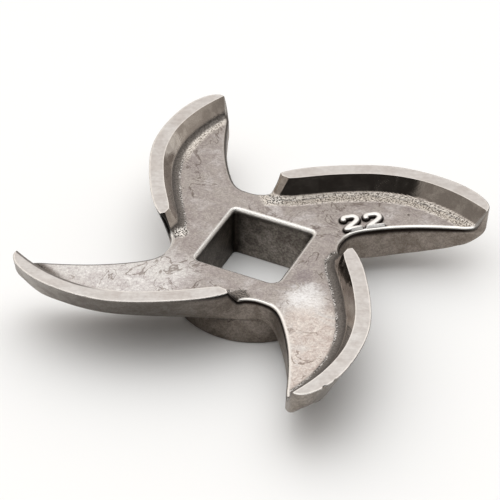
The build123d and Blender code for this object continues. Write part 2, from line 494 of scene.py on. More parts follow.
# a few small nicks in the ground edges: blade, place along it, size, depth, mm
nicks = [(3, 0.134, 0.85, 0.34), (3, 0.192, 0.6, 0.20), (3, 0.30, 0.4, 0.09),
         (3, 0.383, 0.35, 0.08), (2, 0.442, 0.55, 0.15), (2, 0.30, 0.35, 0.09),
         (2, 0.559, 0.45, 0.10), (1, 0.537, 0.4, 0.08), (0, 0.442, 0.35, 0.07),
         (0, 0.62, 0.3, 0.06)]
sector = []
for k in range(4):
    g = rot(rows, k)
    for b, place, size, depth in nicks:
        if b != k:
            continue
        c = arc_len[j_tip] + (arc_len[j_root] - arc_len[j_tip]) * place
        w = np.clip(1 - ((arc_len - c) / (0.5 * size)) ** 2, 0, 1)
        nn = rot(n_in, k)
        for r, f in ((0, 0.6), (1, 1.0), (2, 1.0), (3, 0.8), (4, 0.5)):
            g[r, :, 0] += nn[:, 0] * w * depth * f
            g[r, :, 1] += nn[:, 1] * w * depth * f
            if r:
                g[r, :, 2] -= w * depth * 0.35 * f
    sector.append(g)
G = np.concatenate(sector, axis=1)          # rows x all columns x 3
NCA = G.shape[1]
CAD_HALF = 61.4055 / 2

# ---------------------------------------------------------------------------
# mesh store
# ---------------------------------------------------------------------------
V, F, REG = [], [], []       # vertices, faces, region of each face
SHARP = []                   # vertex pairs
nv = 0


def add_verts(p):
    global nv
    p = np.asarray(p, float).reshape(-1, 3)
    V.append(p)
    ids = np.arange(nv, nv + len(p))
    nv += len(p)
    return ids


def add_faces(f, region):
    F.extend([tuple(int(i) for i in x) for x in f])
    REG.extend([region] * len(f))


def strip(a, b, region, closed=True):
    """Quads between two rows of vertex ids; a is above b, seen from outside."""
    n = len(a)
    last = n if closed else n - 1
    add_faces([(a[i], b[i], b[(i + 1) % n], a[(i + 1) % n]) for i in range(last)], region)


gid = add_verts(G.reshape(-1, 3)).reshape(NR, NCA)
for r in range(NR - 1):
    strip(gid[r], gid[r + 1], 1)


def in_poly(pts, poly, chunk=3000):
    out = np.zeros(len(pts), bool)
    x0, y0 = poly[:, 0], poly[:, 1]
    x1, y1 = np.roll(x0, -1), np.roll(y0, -1)
    for i in range(0, len(pts), chunk):
        px = pts[i:i + chunk, 0][:, None]
        py = pts[i:i + chunk, 1][:, None]
        c = (y0 > py) != (y1 > py)
        with np.errstate(divide="ignore", invalid="ignore"):
            xi = (x1 - x0) * (py - y0) / (y1 - y0) + x0
        out[i:i + chunk] = (np.sum(c & (px < xi), axis=1) % 2) == 1
    return out


def tree_of(pts):
    t = kdtree.KDTree(len(pts))
    for i, p in enumerate(pts):
        t.insert((p[0], p[1], 0), i)
    t.balance()
    return t


def dense(poly, closed=True, step=0.1):
    out = []
    n = len(poly)
    for i in range(n if closed else n - 1):
        a, b = poly[i], poly[(i + 1) % n]
        k = max(1, int(np.linalg.norm(b - a) / step))
        for q in range(k):
            out.append(a + (b - a) * q / k)
    if not closed:
        out.append(poly[-1])
    return np.array(out)


def hexgrid(x0, x1, y0, y1, h):
    ys = np.arange(y0, y1, h * math.sqrt(3) / 2)
    out = []
    for i, y in enumerate(ys):
        xs = np.arange(x0 + (h / 2 if i % 2 else 0), x1, h)
        out.append(np.stack([xs, np.full(len(xs), y)], 1))
    return np.concatenate(out)


def keep_far(pts, tree, dmin):
    return np.array([tree.find((p[0], p[1], 0))[2] > dmin for p in pts], bool) \
        if len(pts) else np.zeros(0, bool)


def cdt(loops, lines, inner, outer, holes, region, zfun, flip=False, lines_z=None):
    """Fills the plan region between loops of existing vertices.
    loops and lines: lists of (ids, plan points); lines are open constraint lines,
    whose ids may be -1 for new vertices. Returns ids of all new vertices."""
    coords, gids, edges = [], [], []
    for ids, pts in loops:
        o = len(coords)
        coords += [Vector((float(p[0]), float(p[1]))) for p in pts]
        gids += [int(i) for i in ids]
        n = len(pts)
        edges += [(o + i, o + (i + 1) % n) for i in range(n)]
    line_marks = []
    for ids, pts in lines:
        loc = []
        for i, p in zip(ids, pts):
            if i >= 0 and int(i) in gids:
                loc.append(gids.index(int(i)))
            else:
                loc.append(len(coords))
                coords.append(Vector((float(p[0]), float(p[1]))))
                gids.append(-1)
        edges += list(zip(loc[:-1], loc[1:]))
        line_marks.append(loc)
    for p in inner:
        coords.append(Vector((float(p[0]), float(p[1]))))
        gids.append(-1)
    vo, eo, fo, ov, oe, of_ = delaunay_2d_cdt(coords, edges, [], 0, 1e-7)
    vo = np.array([(v.x, v.y) for v in vo])
    ids = np.full(len(vo), -1)
    back = {}
    for i, src in enumerate(ov):
        for s in src:
            back[s] = i
            if gids[s] >= 0:
                ids[i] = gids[s]
    tri = np.array([f for f in fo if len(f) == 3])
    cen = vo[tri].mean(1)
    ok = in_poly(cen, outer)
    for h in holes:
        ok &= ~in_poly(cen, h)
    tri = tri[ok]
    used = np.zeros(len(vo), bool)
    used[tri.ravel()] = True
    new = np.where(used & (ids < 0))[0]
    z = zfun(vo[new])
    got = add_verts(np.concatenate([vo[new], z[:, None]], 1))
    ids[new] = got
    t = ids[tri]
    if flip:
        t = t[:, ::-1]
    add_faces(t, region)
    return got, [[int(ids[back[i]]) for i in loc] for loc in line_marks]


# ---------------------------------------------------------------------------
# raised size number, as a plain two-figure number in rounded strokes
# ---------------------------------------------------------------------------
DW, DH, DR = 3.10, 3.90, 0.47
DRISE = 0.50
digits = [(11.35, 8.98, 37.3), (14.22, 11.10, 35.2)]
bow = Spline([(DR, 0.72 * DH), (0.17 * DW + 0.1, 0.84 * DH), (0.48 * DW, DH - DR),
              (0.75 * DW, 0.86 * DH), (DW - DR, 0.69 * DH), (0.72 * DW, 0.51 * DH),
              (0.42 * DW, 0.32 * DH), (DR, DR)])(np.linspace(0, 1, 60))
glyph = np.concatenate([bow, np.linspace((DR, DR), (DW - DR, DR), 12)[1:]])
strokes = []
for x, y, ang in digits:
    c, s = math.cos(math.radians(ang)), math.sin(math.radians(ang))
    strokes.append(np.stack([x + glyph[:, 0] * c - glyph[:, 1] * s,
                             y + glyph[:, 0] * s + glyph[:, 1] * c], 1))


def digit_dist(pts):
    d = np.full(len(pts), 9.0)
    near = (pts[:, 0] > 7.5) & (pts[:, 0] < 20) & (pts[:, 1] > 7.5) & (pts[:, 1] < 20)
    if near.any():
        q = pts[near]
        d[near] = np.minimum(seg_dist(q, strokes[0])[0], seg_dist(q, strokes[1])[0])
    return d


def digit_rise(d):
    body = DRISE * np.clip(1 - (d / 0.54) ** 4.0, 0, 1) ** 0.6
    foot = -0.08 * np.exp(-((d - 0.66) / 0.13) ** 2)
    return np.where(d < 0.54, body, 0) + np.where(d < 1.1, foot, 0)


edge_tree = None


def grain(p, scale, seed):
    return np.array([noise.noise(Vector((x * scale + seed, y * scale - seed, seed * 1.7)))
                     for x, y in p])


def top_relief(pts):
    """Casting waviness on the webs and the grain of the fillets, mm."""
    d, _, k = land_field(pts)
    de = np.array([edge_tree.find((p[0], p[1], 0))[2] for p in pts])
    inner = np.clip((de - 0.35) / 1.2, 0, 1)
    inner = inner * inner * (3 - 2 * inner)
    web = np.clip((d - D_END[k]) / 0.8, 0, 1)
    dig = np.clip((digit_dist(pts) - 0.5) / 0.5, 0, 1)
    wave = 0.030 * grain(pts, 0.22, 3.1) + 0.020 * grain(pts, 0.55, 8.4) \
        + 0.007 * grain(pts, 1.5, 5.2)
    z = wave * web * inner * dig
    zone = np.clip((d - D_TAN[k] - 0.05) / 0.2, 0, 1) * np.clip((FIL_END[k] - d) / 0.5, 0, 1)
    z += FIL_AMP[k] * zone * np.clip(de / 0.3, 0, 1) \
        * (grain(pts, 2.6, 1.3) + 0.5 * grain(pts, 5.5, 2.9))
    return z


FIL_END = np.array([3.5, 2.6, 2.5, 2.8])
FIL_AMP = np.array([0.075, 0.030, 0.035, 0.022])


def top_z(pts):
    return H(pts) + digit_rise(digit_dist(pts)) + top_relief(pts)


# ---------------------------------------------------------------------------
# square hole: bevel line on top, walls, back
# ---------------------------------------------------------------------------
def square(half, radii, step=0.35):
    """Closed square loop with its own corner radii, counter-clockwise from +X/-Y."""
    cs = [(1, -1), (1, 1), (-1, 1), (-1, -1)]
    out = []
    for i, (sx, sy) in enumerate(cs):
        r = radii[i]
        c = np.array([sx * (half - r), sy * (half - r)])
        a0 = math.radians(-90 + 90 * i)
        for q in range(7):
            a = a0 + math.radians(90) * q / 6
            out.append(c + r * np.array([math.cos(a), math.sin(a)]))
        nx = cs[(i + 1) % 4]
        r2 = radii[(i + 1) % 4]
        a = out[-1]
        a1 = math.radians(-90 + 90 * ((i + 1) % 4))
        b = np.array([nx[0] * (half - r2), nx[1] * (half - r2)]) \
            + r2 * np.array([math.cos(a1), math.sin(a1)])
        k = max(1, int(np.linalg.norm(b - a) / step))
        for q in range(1, k):
            out.append(a + (b - a) * q / k)
    return np.array(out)


half = HOLE / 2
radii = [1.5, 0.6, 0.6, 0.6]
sq = square(half, radii)
sq_c = sq / np.abs(sq).max(1)[:, None]
# outward offset of each loop point for the bevel
sq_t = np.roll(sq, -1, 0) - np.roll(sq, 1, 0)
sq_t /= np.linalg.norm(sq_t, axis=1)[:, None]
sq_n = np.stack([sq_t[:, 1], -sq_t[:, 0]], 1)
hole_rows = []
for off, z in ((0.58, WEB), (0.50, WEB - 0.03), (0.30, WEB - 0.15), (0.10, WEB - 0.36), (0.0, WEB - 0.58)):
    hole_rows.append(np.concatenate([sq + sq_n * off, np.full((len(sq), 1), z)], 1))
n_hw = 22
for i in range(1, n_hw + 1):
    z = (WEB - 0.58) * (1 - i / n_hw) + 0.22 * (i / n_hw)
    hole_rows.append(np.concatenate([sq, np.full((len(sq), 1), z)], 1))
hole_rows.append(np.concatenate([sq + sq_n * 0.07, np.full((len(sq), 1), 0.07)], 1))
hole_rows.append(np.concatenate([sq + sq_n * 0.22, np.full((len(sq), 1), 0.0)], 1))
hole_rows = np.stack(hole_rows)
hid = add_verts(hole_rows.reshape(-1, 3)).reshape(len(hole_rows), len(sq))
for r in range(len(hole_rows) - 1):
    a, b = hid[r], hid[r + 1]
    n = len(a)
    add_faces([(b[i], a[i], a[(i + 1) % n], b[(i + 1) % n]) for i in range(n)], 4)

# ---------------------------------------------------------------------------
# upper surface
# ---------------------------------------------------------------------------
outer = G[0][:, :2]
L_lines = []
crease_lines = []
for k in range(4):
    a_id = gid[0][k * NC + j_tip]
    b_id = gid[0][k * NC + j_root]
    pa, pb = outer[k * NC + j_tip], outer[k * NC + j_root]
    l0 = seg_dist(rot(pa[None], -k), L_poly)[2][0]
    tt = np.linspace(0, L_cut, 2000)
    pl = L_s(tt)
    cum = np.concatenate([[0], np.cumsum(np.linalg.norm(np.diff(pl, axis=0), axis=1))])
    n = int((cum[-1] - l0) / 0.2)
    mid = np.interp(np.linspace(l0, cum[-1], n + 1)[1:], cum, tt)
    pts = L_s(mid)
    ab = A_PT + (B_PT - A_PT) * np.linspace(0, 1, 8)[1:, None]
    pbk = rot(pb[None], -k)[0]
    be = B_PT + (pbk - B_PT) * np.linspace(0, 1, 6)[1:-1, None]
    pts = rot(np.concatenate([pts, ab, be]), k)
    L_lines.append((np.array([a_id] + [-1] * len(pts) + [b_id]),
                    np.concatenate([[pa], pts, [pb]])))
    for start, na, ka, nb_, kb in ((A_PT, N3, 1.0, N2, K2[k]), (B_PT, N2, K2[k], N1, K1)):
        g = ka * na - kb * nb_
        c = np.array([-g[1], g[0]]) / np.linalg.norm(g)
        rate = ka * na @ c
        if rate < 0:
            c, rate = -c, -rate
        line = start + c * np.linspace(0, 1.25 / rate, 9)[:, None]
        crease_lines.append(rot(line[1:], k))

grid = hexgrid(-31, 31, -31, 31, 0.27)
grid = grid[in_poly(grid, outer) & ~in_poly(grid, hole_rows[0][:, :2])]
df, _, _ = land_field(grid)
grid = grid[~((df > -0.12) & (df < 3.15))]
fine = hexgrid(-31, 31, -31, 31, 0.165)
fine = fine[in_poly(fine, outer) & ~in_poly(fine, hole_rows[0][:, :2])]
df, _, _ = land_field(fine)
fine = fine[(df > -0.12) & (df < 3.15)]
allp = np.concatenate([grid, fine])
dd = digit_dist(allp)
allp = allp[dd > 0.80]
dg = hexgrid(8, 20, 8, 20, 0.085)
dg = dg[digit_dist(dg) <= 0.80]
dg = dg[in_poly(dg, outer)]
allp = np.concatenate([allp, dg])
bt = tree_of(np.concatenate([dense(outer), dense(hole_rows[0][:, :2])]))
edge_tree = bt
allp = allp[keep_far(allp, bt, 0.11)]
lt = tree_of(np.concatenate([dense(l[1], closed=False, step=0.05) for l in L_lines]
                            + [dense(c, closed=False, step=0.05) for c in crease_lines]))
allp = allp[keep_far(allp, lt, 0.085)]
inner_lines = []
for c in crease_lines:
    if in_poly(c, outer).all():
        inner_lines.append((np.full(len(c), -1), c))
top_new, line_ids = cdt([(gid[0], outer), (hid[0], hole_rows[0][:, :2])],
                        L_lines + inner_lines, allp,
                        outer, [hole_rows[0][:, :2]], 0, top_z)
for loc in line_ids:
    SHARP += list(zip(loc[:-1], loc[1:]))

# ---------------------------------------------------------------------------
# boss below the blades, and each blade's underside
# ---------------------------------------------------------------------------
back_r = R_HUB - 0.3
n_cov = 46
hub_top = []           # ids of the boss's upper row, all round
hub_pts = []
cover_ids = []
for k in range(4):
    j0 = gid[NR - 1][k * NC]
    p_t = G[NR - 1][k * NC]
    j1 = gid[NR - 1][k * NC + j_hub]
    p_l = G[NR - 1][k * NC + j_hub]
    a0 = math.atan2(p_t[1], p_t[0])
    a1 = math.atan2(p_l[1], p_l[0])
    if a1 < a0:
        a1 += 2 * math.pi
    f = np.linspace(0, 1, n_cov + 1)[1:-1]
    th = a0 + (a1 - a0) * f
    xy = R_HUB * np.stack([np.cos(th), np.sin(th)], 1)
    zu = under_z(rot(xy, -k))
    win = np.clip(np.minimum(f, 1 - f) / 0.16, 0, 1)
    win = win * win * (3 - 2 * win)
    rf = np.minimum(1.5, 0.55 * zu) * win
    r_ends = np.linalg.norm(np.stack([p_t[:2], p_l[:2]]), axis=1)
    blend = np.clip(1 - f / 0.06, 0, 1) * (r_ends[0] - R_HUB) + np.clip(1 - (1 - f) / 0.06, 0, 1) * (r_ends[1] - R_HUB)
    xy = (R_HUB + blend)[:, None] * np.stack([np.cos(th), np.sin(th)], 1)
    pts = np.concatenate([xy, (zu - rf)[:, None]], 1)
    ids = add_verts(pts)
    hub_top += [j0] + list(ids)
    hub_pts += [p_t] + list(pts)
    cover_ids.append((ids, pts, rf, th))
    arc_ids = gid[NR - 1][k * NC + j_hub:(k + 1) * NC]
    hub_top += list(arc_ids)
    hub_pts += list(G[NR - 1][k * NC + j_hub:(k + 1) * NC])
hub_top = np.array(hub_top)
hub_pts = np.array(hub_pts)
n_hr = 14
prev_ids = hub_top
ang = np.arctan2(hub_pts[:, 1], hub_pts[:, 0])
rad = np.linalg.norm(hub_pts[:, :2], axis=1)
for i in range(1, n_hr + 1):
    f = i / n_hr
    z = hub_pts[:, 2] * (1 - f) + 0.34 * f
    rr = R_HUB + (rad - R_HUB) * (1 - f) ** 1.5
    ids = add_verts(np.stack([rr * np.cos(ang), rr * np.sin(ang), z], 1))
    strip(prev_ids, ids, 3)
    prev_ids = ids
for rr, z in ((R_HUB - 0.06, 0.16), (R_HUB - 0.17, 0.05), (back_r - 0.04, 0.0)):
    ids = add_verts(np.stack([rr * np.cos(ang), rr * np.sin(ang), np.full(len(ang), z)], 1))
    strip(prev_ids, ids, 3)
    prev_ids = ids
back_loop = np.stack([(back_r - 0.04) * np.cos(ang), (back_r - 0.04) * np.sin(ang)], 1)
bgrid = hexgrid(-13, 13, -13, 13, 0.5)
bgrid = bgrid[in_poly(bgrid, back_loop) & ~in_poly(bgrid, hole_rows[-1][:, :2])]
bt = tree_of(np.concatenate([dense(back_loop), dense(hole_rows[-1][:, :2])]))
bgrid = bgrid[keep_far(bgrid, bt, 0.22)]
cdt([(ids, back_loop), (hid[-1], hole_rows[-1][:, :2])], [], bgrid, back_loop,
    [hole_rows[-1][:, :2]], 5, lambda p: np.zeros(len(p)), flip=True)

for k in range(4):
    ids_c, pts_c, rf_c, th_c = cover_ids[k]
    per_ids = gid[NR - 1][k * NC:k * NC + j_hub + 1]
    per = G[NR - 1][k * NC:k * NC + j_hub + 1]
    loop_ids = np.concatenate([per_ids, ids_c[::-1]])
    loop = np.concatenate([per[:, :2], pts_c[::-1][:, :2]])

    def zf(p, k=k, th_c=th_c, rf_c=rf_c):
        z = under_z(rot(p, -k))
        r = np.linalg.norm(p, axis=1)
        th = np.arctan2(p[:, 1], p[:, 0])
        th = np.where(th < th_c[0] - 0.5, th + 2 * math.pi, th)
        rf = np.interp(th, th_c, rf_c)
        d = np.clip(r - R_HUB, 0, None)
        g = np.where((d < rf) & (rf > 1e-3),
                     rf - np.sqrt(np.clip(rf ** 2 - (rf - d) ** 2, 0, None)), 0)
        return z - g

    ug = hexgrid(-31, 31, -31, 31, 0.42)
    ug = ug[in_poly(ug, loop)]
    rr = np.linalg.norm(ug, axis=1)
    ug = ug[rr > R_HUB + 1.7]
    ring = hexgrid(-16, 16, -16, 16, 0.24)
    ring = ring[in_poly(ring, loop)]
    rr = np.linalg.norm(ring, axis=1)
    ring = ring[rr <= R_HUB + 1.7]
    ug = np.concatenate([ug, ring])
    bt = tree_of(dense(loop))
    ug = ug[keep_far(ug, bt, 0.13)]
    cdt([(loop_ids, loop)], [], ug, loop, [], 2, zf, flip=True)

V = np.concatenate(V)
REG = np.array(REG)

# what the materials need to know about each vertex
top_v = np.zeros(nv, bool)
for f, r in zip(F, REG):
    if r == 0:
        top_v[list(f)] = True
ti = np.where(top_v)[0]
D_LAND = np.full(nv, 9.0)
d_t, _, k_t = land_field(V[ti, :2])
D_LAND[ti] = np.clip(d_t, -3, 9)
D_DIG = np.full(nv, 9.0)
D_DIG[ti] = digit_dist(V[ti, :2])


def smooth01(x):
    x = np.clip(x, 0, 1)
    return x * x * (3 - 2 * x)


WALLM = np.zeros(nv)                 # 1 on the polished step wall
WALLM[ti] = 1 - smooth01((d_t - D_TAN[k_t] + 0.02) / 0.16)
FILM = np.zeros(nv)                  # 1 in the rough fillet
FILM[ti] = (1 - WALLM[ti]) * (1 - smooth01((d_t - FIL_END[k_t] + 0.25) / 0.6))
GLINT_SHARE = np.zeros(nv)                 # share of painted bright glints in the fillet, by blade
GLINT_SHARE[ti] = np.array([1.0, 0.12, 0.5, 0.05])[k_t]
RIMD = np.full(nv, 9.0)              # distance past the foot line
RIMD[ti] = np.clip(d_t - D_END[k_t], -9, 9)
BLADE0 = np.zeros(nv)
BLADE0[ti] = (k_t == 0) * 1.0
EDGE = np.zeros(nv)                  # 1 on the rounded upper edges
LEAD = np.zeros(nv)                  # 1 on ground leading edges, 0 on cast sides
SIDE = np.zeros(nv)                  # 0 at the upper edge, 1 at the lower corner
row_edge = [0.6, 1.0, 1.0, 0.45, 0.0]
col_lead = np.tile(smooth01((arc_len - arc_len[j_tip] + 4.0) / 5.0)
                   * smooth01((arc_len[j_root] - arc_len - 1.0) / 9.0), 4)
for r in range(NR):
    SIDE[gid[r]] = r / (NR - 1)
    LEAD[gid[r]] = col_lead
    if r < 5:
        EDGE[gid[r]] = row_edge[r]
for r, e in enumerate((0.7, 1.0, 1.0, 0.9, 0.3)):
    EDGE[hid[r]] = e
CORNER_SHADE = np.zeros(nv)                 # 1 in the upright corners of the hole, where shade is painted
u_c = smooth01((np.abs(sq).min(1) / half - 0.72) / 0.24)
for r in range(5, len(hole_rows)):
    CORNER_SHADE[hid[r]] = u_c
DE = np.full(nv, 9.0)                # distance from the outline
DE[ti] = [edge_tree.find((p[0], p[1], 0))[2] for p in V[ti, :2]]
SHADE_PAINT = np.zeros(nv)                  # painted shade: dark line on blade 2's land and its rough root end
SHADE_PAINT[ti] = (k_t == 2) * 1.0
end_d = np.linalg.norm(V - np.array([-14.86, -1.81, 9.6]), axis=1)   # shaded root end of blade 1
side_v = np.ones(nv, bool)
side_v[ti] = False
SHADE_PAINT = np.where(side_v, smooth01((2.9 - end_d) / 0.7), SHADE_PAINT)
BAND = np.zeros(nv)                  # pale band outside one blade's fillet
p1 = rot(V[ti, :2], 3)
BAND[ti] = (k_t == 1) * smooth01((p1[:, 0] - 12.75) / 5.0) * smooth01((d_t - D_END[1] + 0.55) / 0.4) \
    * (1 - smooth01((d_t - D_END[1] - 0.55) / 0.5))
# face groups: 0 ground land, 1 cast top, 2 sides, 3 hole, 4 back
GROUP = np.zeros(len(F), int)
for i, (f, r) in enumerate(zip(F, REG)):
    if r == 0:
        GROUP[i] = 0 if np.mean(D_LAND[list(f)]) < 0 else 1
    elif r == 1:
        GROUP[i] = 2
    elif r in (2, 3):
        GROUP[i] = 2
    else:
        GROUP[i] = r - 1
print("vertices", len(V), "faces", len(F), "NC", NC, "NR", NR)
print("box", V.min(0), V.max(0))

# ---------------------------------------------------------------------------
# the object
# ---------------------------------------------------------------------------
mesh = bpy.data.meshes.new("knife_casting")
mesh.from_pydata([tuple(v) for v in V * 0.001], [], F)
mesh.polygons.foreach_set("use_smooth", np.ones(len(mesh.polygons), bool))
mesh.update()
knife = bpy.data.objects.new("knife_casting", mesh)
bpy.context.scene.collection.objects.link(knife)
pairs = {tuple(sorted(p)) for p in SHARP}
att = mesh.attributes.new("sharp_edge", "BOOLEAN", "EDGE")
ev = np.zeros(len(mesh.edges) * 2, int)
mesh.edges.foreach_get("vertices", ev)
ev = np.sort(ev.reshape(-1, 2), axis=1)
att.data.foreach_set("value", np.array([tuple(e) in pairs for e in ev], bool))
for name, values in (("d_land", D_LAND), ("d_dig", D_DIG), ("edge", EDGE),
                     ("lead", LEAD), ("side", SIDE), ("wallm", WALLM), ("film", FILM),
                     ("glint_share", GLINT_SHARE), ("rimd", RIMD), ("corner_shade", CORNER_SHADE), ("de", DE),
                     ("shade_paint", SHADE_PAINT), ("band", BAND)):
    a = mesh.attributes.new(name, "FLOAT", "POINT")
    a.data.foreach_set("value", np.asarray(values, np.float32))
mesh.polygons.foreach_set("material_index", GROUP.astype(np.int32))


# ---------------------------------------------------------------------------
# materials
# ---------------------------------------------------------------------------
class Tree:
    def __init__(self, name):
        self.mat = bpy.data.materials.new(name)
        self.mat.use_nodes = True
        self.t = self.mat.node_tree
        self.bsdf = self.t.nodes["Principled BSDF"]
        tc = self.n("ShaderNodeTexCoord")
        self.mm = self.vec("MULTIPLY", tc.outputs["Object"], (1000, 1000, 1000))

    def n(self, kind, ins=None, **props):
        node = self.t.nodes.new(kind)
        for k, v in props.items():
            setattr(node, k, v)
        for k, v in (ins or {}).items():
            s = node.inputs[k]
            if isinstance(v, bpy.types.NodeSocket):
                self.t.links.new(v, s)
            else:
                s.default_value = v
        return node

    def vec(self, op, a, b):
        return self.n("ShaderNodeVectorMath", {0: a, 1: b}, operation=op).outputs[0]

    def math(self, op, a, b=0.0, c=0.0, clamp=False):
        return self.n("ShaderNodeMath", {0: a, 1: b, 2: c}, operation=op,
                      use_clamp=clamp).outputs[0]

    def attr(self, name):
        return self.n("ShaderNodeAttribute", attribute_name=name).outputs["Fac"]

    def noise(self, scale, detail=3.0, rough=0.55, vec=None, distort=0.0, offset=None):
        v = vec if vec is not None else self.mm
        if offset:
            v = self.vec("ADD", v, offset)
        return self.n("ShaderNodeTexNoise", {"Vector": v, "Scale": scale, "Detail": detail,
                                             "Roughness": rough, "Distortion": distort}
                      ).outputs["Fac"]

    def step(self, x, a, b, lo=0.0, hi=1.0):
        return self.n("ShaderNodeMapRange", {"Value": x, "From Min": a, "From Max": b,
                                             "To Min": lo, "To Max": hi},
                      interpolation_type="SMOOTHSTEP").outputs["Result"]

    def mix(self, f, a, b):
        m = self.n("ShaderNodeMix", data_type="RGBA")
        for key, v in ((0, f), (6, a), (7, b)):
            s = m.inputs[key]
            if isinstance(v, bpy.types.NodeSocket):
                self.t.links.new(v, s)
            else:
                s.default_value = (*v, 1.0) if isinstance(v, tuple) and len(v) == 3 else v
        return m.outputs[2]

    def mul(self, f, a, b):
        m = self.n("ShaderNodeMix", data_type="RGBA", blend_type="MULTIPLY")
        for key, v in ((0, f), (6, a), (7, b)):
            s = m.inputs[key]
            if isinstance(v, bpy.types.NodeSocket):
                self.t.links.new(v, s)
            else:
                s.default_value = (*v, 1.0) if isinstance(v, tuple) and len(v) == 3 else v
        return m.outputs[2]

    def lerp(self, f, a, b):
        m = self.n("ShaderNodeMix", data_type="FLOAT")
        for key, v in ((0, f), (2, a), (3, b)):
            s = m.inputs[key]
            if isinstance(v, bpy.types.NodeSocket):
                self.t.links.new(v, s)
            else:
                s.default_value = v
        return m.outputs[0]

    def bump(self, height, dist, strength=1.0, normal=None):
        ins = {"Height": height, "Distance": dist * 0.001, "Strength": strength}
        if normal is not None:
            ins["Normal"] = normal
        return self.n("ShaderNodeBump", ins).outputs["Normal"]

    def out(self, base, rough, normal=None, metal=1.0):
        for name, v in (("Base Color", base), ("Roughness", rough), ("Normal", normal)):
            if v is None:
                continue
            s = self.bsdf.inputs[name]
            if isinstance(v, bpy.types.NodeSocket):
                self.t.links.new(v, s)
            else:
                s.default_value = (*v, 1.0) if isinstance(v, tuple) else v
        self.bsdf.inputs["Metallic"].default_value = metal
        return self.mat


def ground_land():
    m = Tree("ground_steel")
    rotm = m.n("ShaderNodeMapping", {"Vector": m.mm, "Rotation": (0, 0, -math.atan2(0.426, 0.905))
                                     }).outputs[0]
    st = m.vec("MULTIPLY", rotm, (0.10, 1.0, 1.0))
    fine = m.noise(6.0, 3, 0.6, st)
    wide = m.noise(1.1, 2, 0.5, st)
    cloud = m.noise(0.20, 4, 0.6, distort=0.5)
    spots = m.noise(1.5, 3, 0.6, offset=(4.0, 2.0, 0.0))
    base = m.mix(m.step(cloud, 0.38, 0.62), (0.372, 0.351, 0.336), (0.412, 0.398, 0.386))
    base = m.mul(1.0, base, m.mix(m.step(fine, 0.3, 0.7), (0.93, 0.925, 0.92), (1.04, 1.04, 1.04)))
    base = m.mul(1.0, base, m.mix(m.step(wide, 0.3, 0.7), (0.95, 0.945, 0.94), (1.04, 1.04, 1.04)))
    base = m.mul(1.0, base, m.mix(m.step(spots, 0.35, 0.65), (0.94, 0.93, 0.925), (1.05, 1.05, 1.05)))
    # brighter rims along both edges: partly wear, partly a painted highlight on the edges
    d = m.attr("d_land")
    rim = m.math("MAXIMUM", m.step(d, -0.24, -0.05), m.step(m.attr("de"), 0.30, 0.10))
    rim = m.math("MULTIPLY", rim, m.step(m.noise(1.2, 3, 0.6, offset=(8.0, 0.0, 0.0)), 0.3, 0.6, 0.35, 0.95))
    base = m.mix(rim, base, (0.53, 0.505, 0.475))
    # painted shade: a dark line along one land's inner edge, standing in for the shaded wall behind it
    x = m.n("ShaderNodeSeparateXYZ", {0: m.mm}).outputs[0]
    edge_shade = m.math("MULTIPLY", m.step(d, -0.42, -0.22), m.step(x, -13.0, -19.0))
    edge_shade = m.math("MULTIPLY", edge_shade, m.attr("shade_paint"))
    base = m.mix(m.math("MULTIPLY", edge_shade, 0.85), base, (0.060, 0.050, 0.045))
    r = m.lerp(m.step(fine, 0.3, 0.7), 0.28, 0.38)
    nrm = m.bump(m.math("ADD", fine, m.math("MULTIPLY", wide, 1.5)), 0.007)
    return m.out(base, r, nrm)


